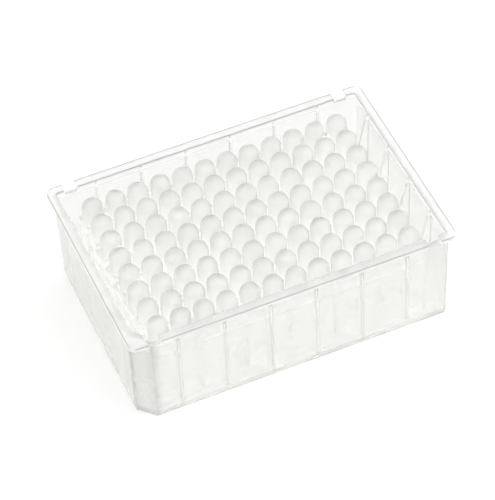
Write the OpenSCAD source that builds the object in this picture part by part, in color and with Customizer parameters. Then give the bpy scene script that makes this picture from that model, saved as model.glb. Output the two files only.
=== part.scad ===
// Deep-well storage plate: a 12 by 8 grid of closed wells inside a flanged skirt, moulded in one piece.
// It stands on its deck, with the well mouths underneath, the round tube ends on top and the rim upwards.
// The origin is the centre of the deck face, X runs along the long side and Z points up.

/* [Rim and flange] */
// Length of the flange
flange_length = 127.76; // [127:0.02:129]
// Width of the flange
flange_width = 85.48; // [85:0.02:87]
// Corner radius of the flange
flange_corner_r = 3.18; // [2.5:0.02:4.5]
// Thickness of the flange
flange_thickness = 1.5; // [1:0.1:2.2]
// How far the flange stands out from the skirt at the rim
flange_overhang = 1.9; // [1.4:0.1:2.4]
// Height from the deck face to the rim
plate_height = 43.4; // [42:0.1:48]

/* [Skirt] */
// Thickness of the skirt's wall
skirt_wall = 1.4; // [1:0.1:1.8]
// Lean of the skirt's walls from the vertical, in degrees
skirt_draft = 0.82; // [0.4:0.02:1.2]
// Radius of the skirt's upright corners at the deck
skirt_corner_r = 2; // [1.9:0.1:3]
// Leg of the 45 degree cut on the front left corner
corner_cut = 6; // [4:0.1:7]
// Thickness of the deck
deck_thickness = 1.5; // [1:0.1:2.5]

/* [Wells] */
// Number of wells along the length
columns = 12; // [10:2:12]
// Number of wells along the width
rows = 8; // [6:2:8]
// Distance between the centres of neighbouring wells
well_pitch = 9; // [8.8:0.05:9.1]
// Width of a well's square mouth
mouth_width = 8.2; // [7.8:0.05:8.4]
// Radius of the square mouth's corners
mouth_corner_r = 1.2; // [0.8:0.1:2]
// Thickness of the wall around the outside of the square block
block_wall = 0.8; // [0.6:0.05:1.1]
// Height of the square part of a well's hollow
ledge_z = 28.5; // [26:0.1:30]
// Thickness of the plastic between the square hollows and the floors of the valleys
roof_thickness = 1; // [0.7:0.1:1.6]
// Outer radius of the round tubes
tube_r = 3.9; // [3.6:0.05:4.1]
// Thickness of the round tubes' walls
tube_wall = 0.8; // [0.6:0.05:1]
// Height of the cone that leads from the square hollow into the round tube
funnel_height = 2.5; // [1.5:0.1:3]
// How far the tubes' ends lie below the rim
tube_recess = 1.1; // [0.5:0.1:2]

/* [Valleys] */
// Depth of the valleys between the pedestals that carry the tubes
valley_depth = 2.4; // [1.5:0.1:3]
// Lean of the valleys' sides from the vertical, in degrees
valley_lean = 20; // [15:1:26]

/* [Ribs] */
// Thickness of the ribs that tie the skirt to the block
rib_thickness = 0.8; // [0.6:0.1:1.2]
// How far the ribs' tops lie below the rim
rib_recess = 0.6; // [0.3:0.1:1.5]
// Width of a rib's top
rib_top = 0.8; // [0.4:0.1:1.4]
// Lean of a rib's free edge from the vertical, in degrees
rib_lean = 12.4; // [9:0.2:15]

/* [Notches] */
// Distance from the flange's end to the near side of a notch in a long side's rim
notch_inset = 6.7; // [5.8:0.1:10]
// Length of a notch
notch_length = 5; // [3:0.1:6]
// Depth of a notch below the rim
notch_depth = 2.4; // [1.8:0.1:3.5]

/* [Hidden] */
$fn = 48;
plastic = [0.93, 0.94, 0.94];
overlap = 0.2;
beyond = 1;
draft_slope = tan(skirt_draft);
rib_slope = tan(rib_lean);
valley_slope = tan(valley_lean);
// The skirt leans out by this much from the deck up to the rim
skirt_growth = plate_height * draft_slope;
skirt_length = flange_length - 2 * (flange_overhang + skirt_growth);
skirt_width = flange_width - 2 * (flange_overhang + skirt_growth);
// A 45 degree cut loses this much of its leg when its outline moves in by 1
cut_inset = 2 - sqrt(2);
grid_length = (columns - 1) * well_pitch;
grid_width = (rows - 1) * well_pitch;
block_length = grid_length + mouth_width + 2 * block_wall;
block_width = grid_width + mouth_width + 2 * block_wall;
valley_floor_z = ledge_z + roof_thickness;
pedestal_z = valley_floor_z + valley_depth;
notch_x = flange_length / 2 - notch_inset - notch_length / 2;
tube_end_z = plate_height - tube_recess - tube_r;
rib_top_z = plate_height - rib_recess;

// A rounded rectangle, centred
module rounded_rectangle(length, width, radius) {
    square([length - 2 * radius, width], center = true);
    square([length, width - 2 * radius], center = true);
    for (x = [-1, 1], y = [-1, 1])
        translate([x * (length / 2 - radius), y * (width / 2 - radius)])
            circle(radius);
}

// A bar along X whose section is given in Y and Z
module bar(length, section) {
    rotate([90, 0, 90])
        linear_extrude(length, center = true)
            polygon(section);
}

// A bar along X that widens upwards from the given width
module leaning_bar(length, width, height) {
    top_width = width + 2 * height * draft_slope;
    bar(length, [
        [-width / 2, 0],
        [width / 2, 0],
        [top_width / 2, height],
        [-top_width / 2, height]
    ]);
}

// The skirt's form as a solid: it widens upwards, with round corners and one cut corner
module skirt_form(length, width, radius, cut, height) {
    growth = height * draft_slope;
    cut_y = (length + width - 2 * cut) / 2 / sqrt(2);
    difference() {
        union() {
            leaning_bar(length - 2 * radius, width, height);
            rotate(90)
                leaning_bar(width - 2 * radius, length, height);
            for (x = [-1, 1], y = [-1, 1])
                translate([x * (length / 2 - radius), y * (width / 2 - radius), 0])
                    cylinder(h = height, r1 = radius, r2 = radius + growth);
        }
        rotate(135)
            bar(width, [
                [cut_y - beyond * draft_slope, -beyond],
                [cut_y + growth + beyond * draft_slope, height + beyond],
                [length, height + beyond],
                [length, -beyond]
            ]);
    }
}

// Everything inside the skirt above the deck
module skirt_hollow() {
    inset = skirt_wall - deck_thickness * draft_slope;
    translate([0, 0, deck_thickness])
        skirt_form(
            skirt_length - 2 * inset,
            skirt_width - 2 * inset,
            skirt_corner_r - inset,
            corner_cut - cut_inset * inset,
            plate_height - deck_thickness + beyond
        );
}

module flange() {
    translate([0, 0, plate_height - flange_thickness])
        linear_extrude(flange_thickness)
            rounded_rectangle(flange_length, flange_width, flange_corner_r);
}

module rim_notches() {
    for (x = [-1, 1])
        translate([x * notch_x - notch_length / 2, -flange_width, plate_height - notch_depth])
            cube([notch_length, 2 * flange_width, notch_depth + beyond]);
}

module skirt() {
    difference() {
        union() {
            skirt_form(skirt_length, skirt_width, skirt_corner_r, corner_cut, plate_height);
            flange();
        }
        skirt_hollow();
        rim_notches();
    }
}

// Puts a copy of its child at each well
module at_wells() {
    for (column = [0:columns - 1], row = [0:rows - 1])
        translate([column * well_pitch - grid_length / 2, row * well_pitch - grid_width / 2, 0])
            children();
}

// A valley along X that is open upwards
module valley(length) {
    mouth_y = (valley_depth + beyond) * valley_slope;
    bar(length, [
        [0, valley_floor_z],
        [mouth_y, pedestal_z + beyond],
        [-mouth_y, pedestal_z + beyond]
    ]);
}

// Valleys along X between rows of pedestals, and one along each outer edge of the block
module valleys(length, width, count) {
    for (line = [1:count - 1])
        translate([0, (line - count / 2) * well_pitch, 0])
            valley(length);
    for (y = [-1, 1])
        translate([0, y * width / 2, 0])
            valley(length);
}

module block() {
    difference() {
        linear_extrude(pedestal_z)
            rounded_rectangle(block_length, block_width, mouth_corner_r + block_wall);
        valleys(block_length + beyond, block_width, rows);
        rotate(90)
            valleys(block_width + beyond, block_length, columns);
    }
}

// The round tubes with their domed ends
module tubes() {
    at_wells() {
        translate([0, 0, tube_end_z])
            sphere(tube_r);
        translate([0, 0, ledge_z])
            cylinder(h = tube_end_z - ledge_z, r = tube_r);
    }
}

// The space inside the wells, from the mouths in the deck to the domed ends
module hollows() {
    bore_r = tube_r - tube_wall;
    at_wells() {
        translate([0, 0, -beyond])
            linear_extrude(ledge_z + beyond)
                rounded_rectangle(mouth_width, mouth_width, mouth_corner_r);
        translate([0, 0, ledge_z - overlap])
            cylinder(h = funnel_height + overlap, r1 = mouth_width / 2 - overlap, r2 = bore_r);
        translate([0, 0, ledge_z])
            cylinder(h = tube_end_z - ledge_z, r = bore_r);
        translate([0, 0, tube_end_z])
            sphere(bore_r);
    }
}

// A rib from the skirt at distance wall_y in to the block at distance block_y, standing along Y
module rib(wall_y, block_y) {
    wall_top_y = wall_y + rib_top_z * draft_slope;
    edge_y = wall_top_y - skirt_wall - rib_top;
    foot_y = block_y - valley_depth * valley_slope - overlap;
    bar(rib_thickness, [
        [foot_y, 0],
        [wall_y - overlap, 0],
        [wall_top_y - overlap, rib_top_z],
        [edge_y, rib_top_z],
        [foot_y, rib_top_z - (edge_y - foot_y) / rib_slope]
    ]);
}

// Ribs stand on every second line between wells, symmetrically about the middle
module ribs_along(count, wall_y, block_y) {
    for (side = [0, 180], line = [1:2:count - 1])
        rotate(side)
            translate([(line - count / 2) * well_pitch, 0, 0])
                rib(wall_y, block_y);
}

module ribs() {
    ribs_along(columns, skirt_width / 2, block_width / 2);
    rotate(90)
        ribs_along(rows, skirt_length / 2, block_length / 2);
}

module well_plate() {
    color(plastic)
        difference() {
            union() {
                skirt();
                block();
                tubes();
                ribs();
            }
            hollows();
        }
}

well_plate();
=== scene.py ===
from math import cos, radians, sin
from types import SimpleNamespace

import bpy
from mathutils import Matrix, Vector


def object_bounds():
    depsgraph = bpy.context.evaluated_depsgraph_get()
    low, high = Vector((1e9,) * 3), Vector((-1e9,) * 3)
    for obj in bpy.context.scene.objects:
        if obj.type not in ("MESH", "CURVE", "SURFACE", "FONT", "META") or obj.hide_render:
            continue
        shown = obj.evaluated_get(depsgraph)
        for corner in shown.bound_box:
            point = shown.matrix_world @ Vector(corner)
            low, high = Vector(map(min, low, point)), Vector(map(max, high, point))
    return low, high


# Looks of a deep-well plate in natural polypropylene. It stands upside down on a white table.
# Lengths are in metres and angles in degrees.

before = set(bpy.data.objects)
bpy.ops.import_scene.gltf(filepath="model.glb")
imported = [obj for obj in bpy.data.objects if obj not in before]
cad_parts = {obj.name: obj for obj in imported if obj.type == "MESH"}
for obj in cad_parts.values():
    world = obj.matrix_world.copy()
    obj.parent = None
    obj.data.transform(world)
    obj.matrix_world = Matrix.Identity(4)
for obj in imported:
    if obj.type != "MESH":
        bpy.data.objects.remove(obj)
CAD_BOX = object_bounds()
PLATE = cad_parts["well_plate"]
HALF_LENGTH, HALF_WIDTH, PLATE_HEIGHT = CAD_BOX[1]

# Camera: where it looks, from which side, and how far it is turned about its own axis
AIM = Vector((-0.0003, 0.0030, 0.0200))
AZIMUTH = -21.035
ELEVATION = 48.329
ROLL = -3.274
DISTANCE = 1.0471
LENS_MM = 202.77

# Regions of the plate. The block of wells and the tubes lie within the first half length and half width,
# and all that stands inside the skirt within the second, but for the ribs' outer ends.
BLOCK_HALF_SIZE = (0.0550, 0.0370)
INNER_HALF_SIZE = (0.0599, 0.0388)
# The deck's upper face lies just below the first height, and the tubes with their feet stand between the next
# two. The rim's plastic takes over from the skirt's between the last two.
DECK_TOP = 0.0016
TUBE_HEIGHTS = (0.0290, 0.0423)
RIM_HEIGHTS = (0.0400, 0.0410)

# The plastic is partly clear and partly milk. Light keeps this share each time it meets a clear surface: in
# the wells, at the tubes' tips, in the skirt's wall and at the skirt's foot. The last one is for the lamp.
# The tips', the skirt's and the foot's darker tints are painted shade on the same plastic.
CLEAR = (0.977, 0.977, 0.974, 1)
# Painted shade: the tubes' tips get a darker tint
TIP_SHADE_CLEAR = (0.964, 0.964, 0.961, 1)
SKIRT_SHADE_CLEAR = (0.940, 0.940, 0.936, 1)
FOOT_SHADE_CLEAR = (0.932, 0.932, 0.928, 1)
LAMP_PASS = (0.990, 0.990, 0.987, 1)
SKIRT_IOR = 1.45
INNER_IOR = 1.39
ROUGHNESS = (0.20, 0.24)
TUBE_ROUGHNESS = (0.38, 0.42)
ROUGHNESS_BLOBS = 0.003
# Heights over which the tubes' tint turns into their tips', and the skirt's foot into its wall
TIP_HEIGHTS = (0.0300, 0.0400)
FOOT_HEIGHTS = (0.0, 0.0150)
# Milk, the share of its light that goes on through, and how much of the plastic is milk: from the skirt's
# foot to its wall, in the rim, and from the tubes' feet to their tips
MILK = (0.950, 0.948, 0.941, 1)
# Painted shade: the skirt's milk is greyer than the milk inside it
SKIRT_SHADE_MILK = (0.900, 0.899, 0.892, 1)
MILK_THROUGH = 0.5
SKIRT_SHARE = (0.25, 0.19)
RIM_SHARE = 0.48
# Painted shade: less milk towards the tubes' tips makes them greyer, and more at their feet makes these
# whiter
TUBE_SHADE_SHARE = (0.26, 0.03)
# The melt's flow makes the milk uneven, by these factors
UNEVENNESS = (0.85, 1.15)
FLOW_BLOBS = 0.012
# Fine grain of the mould, and the radius of the moulding's edges
GRAIN_BLOBS = 0.0004
GRAIN_DEPTH = 0.0001
GRAIN_STRENGTH = 0.06
EDGE_RADIUS = 0.0005
EDGE_SAMPLES = 6

# Painted shade: grey lines where rounded edges look dark, along the deck's edge, the rim's outer edge and the
# rim's edge to the hollow.
# A face counts as upright where its normal's Z is nearer to 0 than the limit.
EDGE_SHADE_GREY = (0.300, 0.300, 0.300, 1)
UPRIGHT_LIMIT = 0.5
DECK_EDGE_HEIGHT = 0.0014
DECK_EDGE_SHADE_SHARE = 0.14
RIM_EDGE_WIDTH = 0.0004
HOLLOW_EDGE_INSET = 0.00295
HOLLOW_EDGE_HEIGHT = 0.0007
RIM_EDGE_SHADE_SHARE = 0.60
# Painted shade: the cut corner turns grey where X and Y together come down from the first value to the second
CORNER_SUMS = (-0.0925, -0.0950)
CORNER_SHADE_SHARE = 0.18

# Table
TABLE_HALF_SIZE = 4.0
TABLE_DROP = 0.0001
TABLE_WHITE = (0.9, 0.9, 0.9, 1)
TABLE_ROUGHNESS = (0.85, 0.95)
TABLE_BLOBS = 0.01

# Light: a lamp, and a room that is brighter overhead than at the horizon, and brighter at both sides, most at
# the right. Directions whose Z is at least ZENITH_FROM are as bright as the zenith.
SUN_STRENGTH = 1.70
SUN_SIZE = 120
SUN_AZIMUTH = 20
SUN_ELEVATION = 62
HORIZON = 0.22
ZENITH = 0.60
ZENITH_FROM = 0.7
SIDES = 0.50
RIGHT_SIDE = 0.50

# Noise mostly lies between these two values
NOISE_RANGE = (0.3, 0.7)

# Light crosses many walls of the wells before it is out again
CLEAR_BOUNCES = 48
SHADOW_BOUNCES = 64
MIRROR_BOUNCES = 24
MILK_BOUNCES = 8


def node(tree, kind, **values):
    """A new shader node. Values set its sockets by name, with a space for each underscore."""
    made = tree.nodes.new(kind)
    for name, value in values.items():
        made.inputs[name.replace("_", " ")].default_value = value
    return made


def feed(tree, value, socket):
    """Gives a socket its value: a number, a colour or an output socket."""
    if isinstance(value, (int, float, tuple)):
        socket.default_value = value
    else:
        tree.links.new(value, socket)


def mix(tree, share, first, second):
    """A mix of two shaders. share is a number or an output socket."""
    mixed = tree.nodes.new("ShaderNodeMixShader")
    feed(tree, share, mixed.inputs[0])
    tree.links.new(first.outputs[0], mixed.inputs[1])
    tree.links.new(second.outputs[0], mixed.inputs[2])
    return mixed


def blend(tree, share, first, second):
    """A number or a colour that goes from first to second as the share goes from 0 to 1."""
    mixed = tree.nodes.new("ShaderNodeMix")
    tree.links.new(share, mixed.inputs[0])
    sockets = mixed.inputs[2:4]
    result = mixed.outputs[0]
    if isinstance(first, tuple):
        mixed.data_type = "RGBA"
        sockets = mixed.inputs[6:8]
        result = mixed.outputs[2]
    feed(tree, first, sockets[0])
    feed(tree, second, sockets[1])
    return result


def calculate(tree, operation, first, second=0):
    """What a math operation gives for two values, each a number or an output socket."""
    made = tree.nodes.new("ShaderNodeMath")
    made.operation = operation
    feed(tree, first, made.inputs[0])
    feed(tree, second, made.inputs[1])
    return made.outputs[0]


def times(tree, first, second):
    return calculate(tree, "MULTIPLY", first, second)


def above(tree, value, limit):
    """1 where the value is over the limit, 0 everywhere else."""
    return calculate(tree, "GREATER_THAN", value, limit)


def below(tree, value, limit):
    """1 where the value is under the limit, 0 everywhere else."""
    return calculate(tree, "LESS_THAN", value, limit)


def outside(tree, share):
    """1 where a region's share is 0, and 0 where it is 1."""
    return calculate(tree, "SUBTRACT", 1, share)


def ramp(tree, value, start, end, low, high):
    """A value mapped from the range start to end onto the range low to high."""
    made = node(tree, "ShaderNodeMapRange", From_Min=start, From_Max=end, To_Min=low, To_Max=high)
    tree.links.new(value, made.inputs["Value"])
    return made.outputs[0]


def noise(tree, place, size, low, high):
    """Noise with blobs of about that size, mapped to the range from low to high."""
    blobs = node(tree, "ShaderNodeTexNoise", Scale=1 / size)
    tree.links.new(place, blobs.inputs["Vector"])
    return ramp(tree, blobs.outputs[0], *NOISE_RANGE, low, high)


def split(tree, vector):
    """The X, Y and Z of a vector, as the outputs of one node."""
    axes = tree.nodes.new("ShaderNodeSeparateXYZ")
    tree.links.new(vector, axes.inputs[0])
    return axes.outputs


def within(tree, axes, limits):
    """1 where X and Y are nearer to the middle than the two limits, 0 everywhere else."""
    sides = [calculate(tree, "ABSOLUTE", axes[axis]) for axis in "XY"]
    near = [below(tree, side, limit) for side, limit in zip(sides, limits)]
    return times(tree, *near)


def inset(distance):
    """Half the length and half the width of the flange's outline moved in by that distance."""
    return HALF_LENGTH - distance, HALF_WIDTH - distance


def new_material(name):
    material = bpy.data.materials.new(name)
    material.use_nodes = True
    material.node_tree.nodes.clear()
    return material, material.node_tree


def show(tree, shader):
    out = tree.nodes.new("ShaderNodeOutputMaterial")
    tree.links.new(shader.outputs[0], out.inputs["Surface"])


def plate_regions(tree):
    """Places on the plate, and shares that are 1 inside a region and 0 outside it."""
    place = tree.nodes.new("ShaderNodeTexCoord").outputs["Object"]
    axes = split(tree, place)
    height = axes["Z"]
    block = within(tree, axes, BLOCK_HALF_SIZE)
    return SimpleNamespace(
        place=place,
        axes=axes,
        height=height,
        block=block,
        inner=within(tree, axes, INNER_HALF_SIZE),
        tubes=times(tree, block, above(tree, height, TUBE_HEIGHTS[0])),
        rim=ramp(tree, height, *RIM_HEIGHTS, 0, 1),
    )


def soft_edged_grain(tree, at):
    """The normal of a finely grained surface with rounded edges."""
    edges = node(tree, "ShaderNodeBevel", Radius=EDGE_RADIUS)
    edges.samples = EDGE_SAMPLES
    grain = node(tree, "ShaderNodeBump", Strength=GRAIN_STRENGTH, Distance=GRAIN_DEPTH)
    tree.links.new(noise(tree, at.place, GRAIN_BLOBS, 0, 1), grain.inputs["Height"])
    tree.links.new(edges.outputs[0], grain.inputs["Normal"])
    return grain.outputs[0]


def clear_plastic(tree, at):
    """Clear plastic: the skirt and deck bend light more and are tinted darker, as painted shade, than what
    stands inside the skirt.
    """
    normal = soft_edged_grain(tree, at)
    skirt_roughness = noise(tree, at.place, ROUGHNESS_BLOBS, *ROUGHNESS)
    tube_roughness = noise(tree, at.place, ROUGHNESS_BLOBS, *TUBE_ROUGHNESS)
    roughness = blend(tree, at.tubes, skirt_roughness, tube_roughness)
    skirt = node(tree, "ShaderNodeBsdfGlass", IOR=SKIRT_IOR)
    wells = node(tree, "ShaderNodeBsdfGlass", IOR=INNER_IOR)
    skirt_shaded_tint = blend(tree, ramp(tree, at.height, *FOOT_HEIGHTS, 0, 1), FOOT_SHADE_CLEAR, SKIRT_SHADE_CLEAR)
    # Painted shade: the wells' tint darkens towards the tubes' tips
    wells_tint_shaded_tips = blend(tree, ramp(tree, at.height, *TIP_HEIGHTS, 0, 1), CLEAR, TIP_SHADE_CLEAR)
    for glass, tint in ((skirt, skirt_shaded_tint), (wells, wells_tint_shaded_tips)):
        tree.links.new(tint, glass.inputs["Color"])
        tree.links.new(roughness, glass.inputs["Roughness"])
        tree.links.new(normal, glass.inputs["Normal"])
    return mix(tree, times(tree, at.inner, above(tree, at.height, DECK_TOP)), skirt, wells)


def milk(tree, at):
    """Milk scatters light back and on through. In the skirt below the rim it is greyer, as painted shade."""
    tint = blend(tree, calculate(tree, "MAXIMUM", at.inner, at.rim), SKIRT_SHADE_MILK, MILK)
    lit_side = tree.nodes.new("ShaderNodeBsdfDiffuse")
    far_side = tree.nodes.new("ShaderNodeBsdfTranslucent")
    tree.links.new(tint, lit_side.inputs["Color"])
    tree.links.new(tint, far_side.inputs["Color"])
    return mix(tree, MILK_THROUGH, lit_side, far_side)


def milk_share(tree, at):
    wall = ramp(tree, at.height, *FOOT_HEIGHTS, *SKIRT_SHARE)
    skirt = blend(tree, at.rim, wall, RIM_SHARE)
    # Painted shade: the tubes' milk thins out towards their tips
    tubes = ramp(tree, at.height, *TUBE_HEIGHTS, *TUBE_SHADE_SHARE)
    even = blend(tree, at.block, skirt, tubes)
    return times(tree, even, noise(tree, at.place, FLOW_BLOBS, *UNEVENNESS))


# Painted shade: a grey line low on the deck's upright faces
def deck_edge_shade_share(tree, at, upright):
    low = times(tree, upright, below(tree, at.height, DECK_EDGE_HEIGHT))
    return times(tree, low, DECK_EDGE_SHADE_SHARE)


def rim_edge_shade_share(tree, at, upright):
    """Painted shade along the rim's outer edge, and along the tops of the upright faces on its hollow side.
    """
    past_rim = outside(tree, within(tree, at.axes, inset(RIM_EDGE_WIDTH)))
    outer = times(tree, past_rim, above(tree, at.height, PLATE_HEIGHT - RIM_EDGE_WIDTH))
    hollow_side = times(tree, upright, within(tree, at.axes, inset(HOLLOW_EDGE_INSET)))
    inner = times(tree, hollow_side, above(tree, at.height, PLATE_HEIGHT - HOLLOW_EDGE_HEIGHT))
    return times(tree, calculate(tree, "ADD", outer, inner), RIM_EDGE_SHADE_SHARE)


def corner_shade_share(tree, at):
    """Painted shade on the cut corner below the rim."""
    across = calculate(tree, "ADD", at.axes["X"], at.axes["Y"])
    return times(tree, ramp(tree, across, *CORNER_SUMS, 0, CORNER_SHADE_SHARE), outside(tree, at.rim))


def painted_shade_share(tree, at):
    """How much painted shade, in grey, lies on the edges and the cut corner."""
    normal = split(tree, tree.nodes.new("ShaderNodeNewGeometry").outputs["True Normal"])
    upright = below(tree, calculate(tree, "ABSOLUTE", normal["Z"]), UPRIGHT_LIMIT)
    above_deck = calculate(tree, "ADD", rim_edge_shade_share(tree, at, upright), corner_shade_share(tree, at))
    return calculate(tree, "MAXIMUM", deck_edge_shade_share(tree, at, upright), above_deck)


def natural_polypropylene():
    material, tree = new_material("natural_polypropylene")
    at = plate_regions(tree)
    plastic = mix(tree, milk_share(tree, at), clear_plastic(tree, at), milk(tree, at))
    # Painted shade: grey over the edges and the cut corner
    grey = node(tree, "ShaderNodeBsdfDiffuse", Color=EDGE_SHADE_GREY)
    with_painted_shade = mix(tree, painted_shade_share(tree, at), plastic, grey)
    # The lamp's light goes straight through the plastic instead of being bent
    ray = tree.nodes.new("ShaderNodeLightPath")
    lamp_lit = node(tree, "ShaderNodeBsdfTransparent", Color=LAMP_PASS)
    show(tree, mix(tree, ray.outputs["Is Shadow Ray"], with_painted_shade, lamp_lit))
    return material


def dress_plate():
    PLATE.data.materials.clear()
    PLATE.data.materials.append(natural_polypropylene())


def white_table():
    material, tree = new_material("white_table")
    place = tree.nodes.new("ShaderNodeTexCoord").outputs["Object"]
    paper = node(tree, "ShaderNodeBsdfPrincipled", Base_Color=TABLE_WHITE, Specular_IOR_Level=0.0)
    tree.links.new(noise(tree, place, TABLE_BLOBS, *TABLE_ROUGHNESS), paper.inputs["Roughness"])
    show(tree, paper)
    return material


def add_table():
    corners = [
        (x * TABLE_HALF_SIZE, y * TABLE_HALF_SIZE, -TABLE_DROP)
        for x, y in ((-1, -1), (1, -1), (1, 1), (-1, 1))
    ]
    mesh = bpy.data.meshes.new("table")
    mesh.from_pydata(corners, [], [(0, 1, 2, 3)])
    table = bpy.data.objects.new("table", mesh)
    table.data.materials.append(white_table())
    bpy.context.collection.objects.link(table)


def direction_from(azimuth, elevation):
    """The unit vector towards a place seen at that azimuth and elevation; azimuth 0 is the front."""
    turn, rise = radians(azimuth), radians(elevation)
    return Vector((sin(turn) * cos(rise), -cos(turn) * cos(rise), sin(rise)))


def add_lamp():
    """A wide soft lamp overhead. It doesn't show in reflections."""
    sun = bpy.data.lights.new("sun", "SUN")
    sun.energy = SUN_STRENGTH
    sun.angle = radians(SUN_SIZE)
    lamp = bpy.data.objects.new("sun", sun)
    lamp.rotation_euler = direction_from(SUN_AZIMUTH, SUN_ELEVATION).to_track_quat("Z", "Y").to_euler()
    lamp.visible_glossy = False
    bpy.context.collection.objects.link(lamp)


def add_room():
    world = bpy.data.worlds.new("room")
    world.use_nodes = True
    tree = world.node_tree
    direction = split(tree, tree.nodes.new("ShaderNodeTexCoord").outputs["Generated"])
    sky = ramp(tree, direction["Z"], 0.0, ZENITH_FROM, HORIZON, ZENITH)
    sides = times(tree, times(tree, direction["X"], direction["X"]), SIDES)
    right = ramp(tree, direction["X"], 0.0, 1.0, 0.0, RIGHT_SIDE)
    strength = calculate(tree, "ADD", sides, calculate(tree, "ADD", sky, right))
    background = tree.nodes["Background"]
    tree.links.new(strength, background.inputs["Strength"])
    background.inputs["Color"].default_value = (1, 1, 1, 1)
    bpy.context.scene.world = world


def add_camera():
    back = direction_from(AZIMUTH, ELEVATION)
    data = bpy.data.cameras.new("camera")
    data.lens = LENS_MM
    camera = bpy.data.objects.new("camera", data)
    camera.location = AIM + back * DISTANCE
    upright = back.to_track_quat("Z", "Y").to_matrix()
    camera.rotation_euler = (upright @ Matrix.Rotation(radians(ROLL), 3, "Z")).to_euler()
    bpy.context.collection.objects.link(camera)
    bpy.context.scene.camera = camera


def set_scene():
    scene = bpy.context.scene
    scene.view_settings.view_transform = "Standard"
    scene.cycles.max_bounces = CLEAR_BOUNCES
    scene.cycles.transmission_bounces = CLEAR_BOUNCES
    scene.cycles.transparent_max_bounces = SHADOW_BOUNCES
    scene.cycles.diffuse_bounces = MILK_BOUNCES
    scene.cycles.glossy_bounces = MIRROR_BOUNCES


dress_plate()
add_table()
add_lamp()
add_room()
add_camera()
set_scene()
